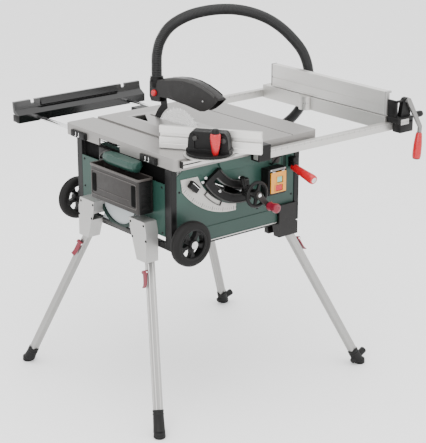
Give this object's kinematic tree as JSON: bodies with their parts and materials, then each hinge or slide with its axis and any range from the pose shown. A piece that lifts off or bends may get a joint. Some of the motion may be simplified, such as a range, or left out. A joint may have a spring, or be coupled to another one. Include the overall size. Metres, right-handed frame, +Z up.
{
  "type": "table saw",
  "caption": "Portable table saw on a folding leg stand, with tilting and rising blade, guard with suction hose, mitre gauge, sliding width extension with rip fence, and outfeed bar.",
  "frame": {"origin": "on the floor, below the middle of the saw's box, the free hose left out", "axes": "+X to the operator's right, +Y along the cut, away from the operator, +Z up"},
  "size_m": [1.201, 1.0934, 1.203],
  "materials": {
    "table": "fine cast and ground face",
    "insert": "ground plate",
    "rail": "satin extrusion",
    "green": "satin dark green paint",
    "black_plastic": "moulded, fine grain",
    "grey_plastic": "moulded, fine grain",
    "black_steel": "black paint",
    "steel": "turned",
    "chrome": "polished",
    "cast": "as cast",
    "red_plastic": "glossy red",
    "yellow_plastic": "yellow",
    "green_button": "pale green",
    "scale": "light grey print",
    "rubber": "moulded",
    "hose": "corrugated"
  },
  "bodies": {
    "housing": {"table_top": "table", "table_insert": "insert", "front_rail": "rail", "rail_guide": "black_plastic", "rear_guide": "black_plastic", "chassis_frame": "black_steel", "front_panel": "green", "left_panel": "green", "right_panel": "green", "rear_panel": "green", "chip_port": "black_plastic", "bevel_scale": "scale", "arc_guide": "black_plastic", "switch_box": "black_plastic", "storage_box": "grey_plastic", "side_grip": "green", "bracket_front_left": "rail", "bracket_front_right": "black_steel", "bracket_rear_left": "rail", "bracket_rear_right": "black_steel", "wheel_axle": "steel", "suction_hose": "hose"},
    "flap": {"switch_flap": "yellow_plastic"},
    "start_press": {"start_button": "green_button"},
    "stop_press": {"stop_button": "red_plastic"},
    "tilt_body": {"tilt_carriage": "black_steel"},
    "crank_body": {"handwheel": "black_plastic"},
    "knob_body": {"crank_knob": "red_plastic"},
    "lock_body": {"tilt_lock": "black_plastic"},
    "screw_body": {"lift_screw": "steel"},
    "lift_body": {"lift_carriage": "cast", "motor": "black_steel", "drive_belt": "rubber", "riving_knife": "black_steel"},
    "rotor": {"motor_pulley": "steel"},
    "spindle": {"arbor": "steel", "saw_blade": "chrome"},
    "guard": {"guard_hood": "grey_plastic"},
    "guard_catch": {"guard_button": "red_plastic"},
    "mitre_body": {"mitre_bar": "steel"},
    "mitre_swivel": {"mitre_head": "black_plastic"},
    "mitre_fence_body": {"mitre_fence": "rail"},
    "mitre_knob": {"mitre_grip": "red_plastic"},
    "extension": {"extension_frame": "rail"},
    "fence": {"rip_fence": "rail", "fence_head": "black_plastic"},
    "fence_lock": {"fence_lever": "red_plastic"},
    "outfeed": {"outfeed_bar": "black_steel"},
    "clamp": {"clamp_lever": "red_plastic"},
    "wheel_f": {"wheel_front": "rubber"},
    "wheel_r": {"wheel_rear": "rubber"},
    "leg_front_left": {"leg_front_left": "rail"},
    "latch_front_left": {"release_front_left": "red_plastic"},
    "leg_rear_left": {"leg_rear_left": "rail"},
    "latch_rear_left": {"release_rear_left": "red_plastic"},
    "leg_front_right": {"leg_front_right": "rail"},
    "latch_front_right": {"release_front_right": "red_plastic"},
    "leg_rear_right": {"leg_rear_right": "rail"},
    "latch_rear_right": {"release_rear_right": "red_plastic"}
  },
  "joints": [
    {"name": "flap_hinge", "type": "hinge", "parent": "housing", "child": "flap", "pos_m": [-0.0325, -0.4328, 0.744], "axis": [-1, 0, 0], "range_deg": [0, 100]},
    {"name": "start_press", "type": "slide", "parent": "housing", "child": "start_press", "axis": [0, 1, 0], "range_m": [0, 0.002], "stiffness_N_per_m": 400},
    {"name": "stop_press", "type": "slide", "parent": "housing", "child": "stop_press", "axis": [0, 1, 0], "range_m": [0, 0.002], "stiffness_N_per_m": 400},
    {"name": "blade_tilt", "type": "hinge", "parent": "housing", "child": "tilt_body", "pos_m": [-0.1545, -0.0763, 0.85], "axis": [0, 1, 0], "range_deg": [0, 47], "deforming": ["suction_hose"]},
    {"name": "blade_lift", "type": "slide", "parent": "tilt_body", "child": "lift_body", "axis": [0, 0, 1], "range_m": [-0.05, 0.027], "deforming": ["suction_hose"]},
    {"name": "crank_turn", "type": "hinge", "parent": "tilt_body", "child": "crank_body", "pos_m": [-0.1545, -0.4163, 0.698], "axis": [0, 1, 0], "range_deg": [-2195, 1186]},
    {"name": "screw_turn", "type": "hinge", "parent": "tilt_body", "child": "screw_body", "pos_m": [-0.1545, -0.3113, 0.7], "axis": [0, 0, 1], "range_deg": [-2195, 1186]},
    {"name": "knob_spin", "type": "hinge", "parent": "crank_body", "child": "knob_body", "pos_m": [-0.1135, -0.4797, 0.655], "axis": [0, 1, 0], "continuous": true},
    {"name": "tilt_lock", "type": "hinge", "parent": "tilt_body", "child": "lock_body", "pos_m": [-0.1545, -0.4213, 0.698], "axis": [0, -1, 0], "range_deg": [0, 35]},
    {"name": "blade_spin", "type": "hinge", "parent": "lift_body", "child": "spindle", "pos_m": [-0.1545, -0.0763, 0.778], "axis": [1, 0, 0], "continuous": true},
    {"name": "motor_spin", "type": "hinge", "parent": "lift_body", "child": "rotor", "pos_m": [-0.0995, -0.0163, 0.69], "axis": [1, 0, 0], "continuous": true},
    {"name": "guard_swing", "type": "hinge", "parent": "lift_body", "child": "guard", "pos_m": [-0.1545, 0.0417, 0.938], "axis": [-1, 0, 0], "range_deg": [0, 25], "deforming": ["suction_hose"]},
    {"name": "catch_press", "type": "slide", "parent": "guard", "child": "guard_catch", "axis": [1, 0, 0], "range_m": [0, 0.002], "stiffness_N_per_m": 400},
    {"name": "mitre_travel", "type": "slide", "parent": "housing", "child": "mitre_body", "axis": [0, 1, 0], "range_m": [-0.06, 0.12]},
    {"name": "mitre_turn", "type": "hinge", "parent": "mitre_body", "child": "mitre_swivel", "pos_m": [-0.318, -0.4313, 0.85], "axis": [0, 0, 1], "range_deg": [-5, 40]},
    {"name": "mitre_fence_shift", "type": "slide", "parent": "mitre_swivel", "child": "mitre_fence_body", "axis": [0.5736, -0.8192, 0], "range_m": [-0.03, 0.03]},
    {"name": "mitre_grip_spin", "type": "hinge", "parent": "mitre_swivel", "child": "mitre_knob", "pos_m": [-0.33356, -0.47882, 0.9], "axis": [0, 0, 1], "continuous": true},
    {"name": "extension_travel", "type": "slide", "parent": "housing", "child": "extension", "axis": [1, 0, 0], "range_m": [-0.27, 0]},
    {"name": "fence_travel", "type": "slide", "parent": "extension", "child": "fence", "axis": [1, 0, 0], "range_m": [-0.2, 0]},
    {"name": "fence_lock_swing", "type": "hinge", "parent": "fence", "child": "fence_lock", "pos_m": [0.5095, -0.4828, 0.903], "axis": [0, -1, 0], "range_deg": [0, 50]},
    {"name": "outfeed_travel", "type": "slide", "parent": "housing", "child": "outfeed", "axis": [0, 1, 0], "range_m": [-0.27, 0]},
    {"name": "clamp_turn", "type": "hinge", "parent": "housing", "child": "clamp", "pos_m": [0.0575, -0.4163, 0.762], "axis": [0, 1, 0], "range_deg": [0, 45]},
    {"name": "wheel_front_spin", "type": "hinge", "parent": "housing", "child": "wheel_f", "pos_m": [-0.4015, -0.4423, 0.581], "axis": [0, 1, 0], "continuous": true},
    {"name": "wheel_rear_spin", "type": "hinge", "parent": "housing", "child": "wheel_r", "pos_m": [-0.4015, 0.1807, 0.581], "axis": [0, 1, 0], "continuous": true},
    {"name": "fold_front_left", "type": "hinge", "parent": "housing", "child": "leg_front_left", "pos_m": [-0.4555, -0.2983, 0.522], "axis": [0, -0.9277, 0.3732], "range_deg": [0, 102]},
    {"name": "latch_front_left", "type": "hinge", "parent": "leg_front_left", "child": "latch_front_left", "pos_m": [-0.48862, -0.31848, 0.47184], "axis": [0, 0.9277, -0.3732], "range_deg": [0, 25]},
    {"name": "fold_rear_left", "type": "hinge", "parent": "housing", "child": "leg_rear_left", "pos_m": [-0.4555, 0.0237, 0.522], "axis": [0, -0.9138, -0.4061], "range_deg": [0, 102]},
    {"name": "latch_rear_left", "type": "hinge", "parent": "leg_rear_left", "child": "latch_rear_left", "pos_m": [-0.48844, 0.0457, 0.47249], "axis": [0, 0.9138, 0.4061], "range_deg": [0, 25]},
    {"name": "fold_front_right", "type": "hinge", "parent": "housing", "child": "leg_front_right", "pos_m": [0.0655, -0.3613, 0.515], "axis": [0, 0.9673, -0.2536], "range_deg": [0, 113]},
    {"name": "latch_front_right", "type": "hinge", "parent": "leg_front_right", "child": "latch_front_right", "pos_m": [0.10863, -0.37308, 0.47004], "axis": [0, -0.9673, 0.2536], "range_deg": [0, 25]},
    {"name": "fold_rear_right", "type": "hinge", "parent": "housing", "child": "leg_rear_right", "pos_m": [0.0725, 0.1007, 0.515], "axis": [0, 0.9616, 0.2745], "range_deg": [0, 113]},
    {"name": "latch_rear_right", "type": "hinge", "parent": "leg_rear_right", "child": "latch_rear_right", "pos_m": [0.11501, 0.11361, 0.46976], "axis": [0, -0.9616, -0.2745], "range_deg": [0, 25]}
  ],
  "couplings": [
    {"joint": "crank_turn", "follows": "blade_lift", "rad_per_m": 766},
    {"joint": "screw_turn", "follows": "blade_lift", "rad_per_m": 766},
    {"joint": "motor_spin", "follows": "blade_spin", "ratio": 1.2222}
  ]
}
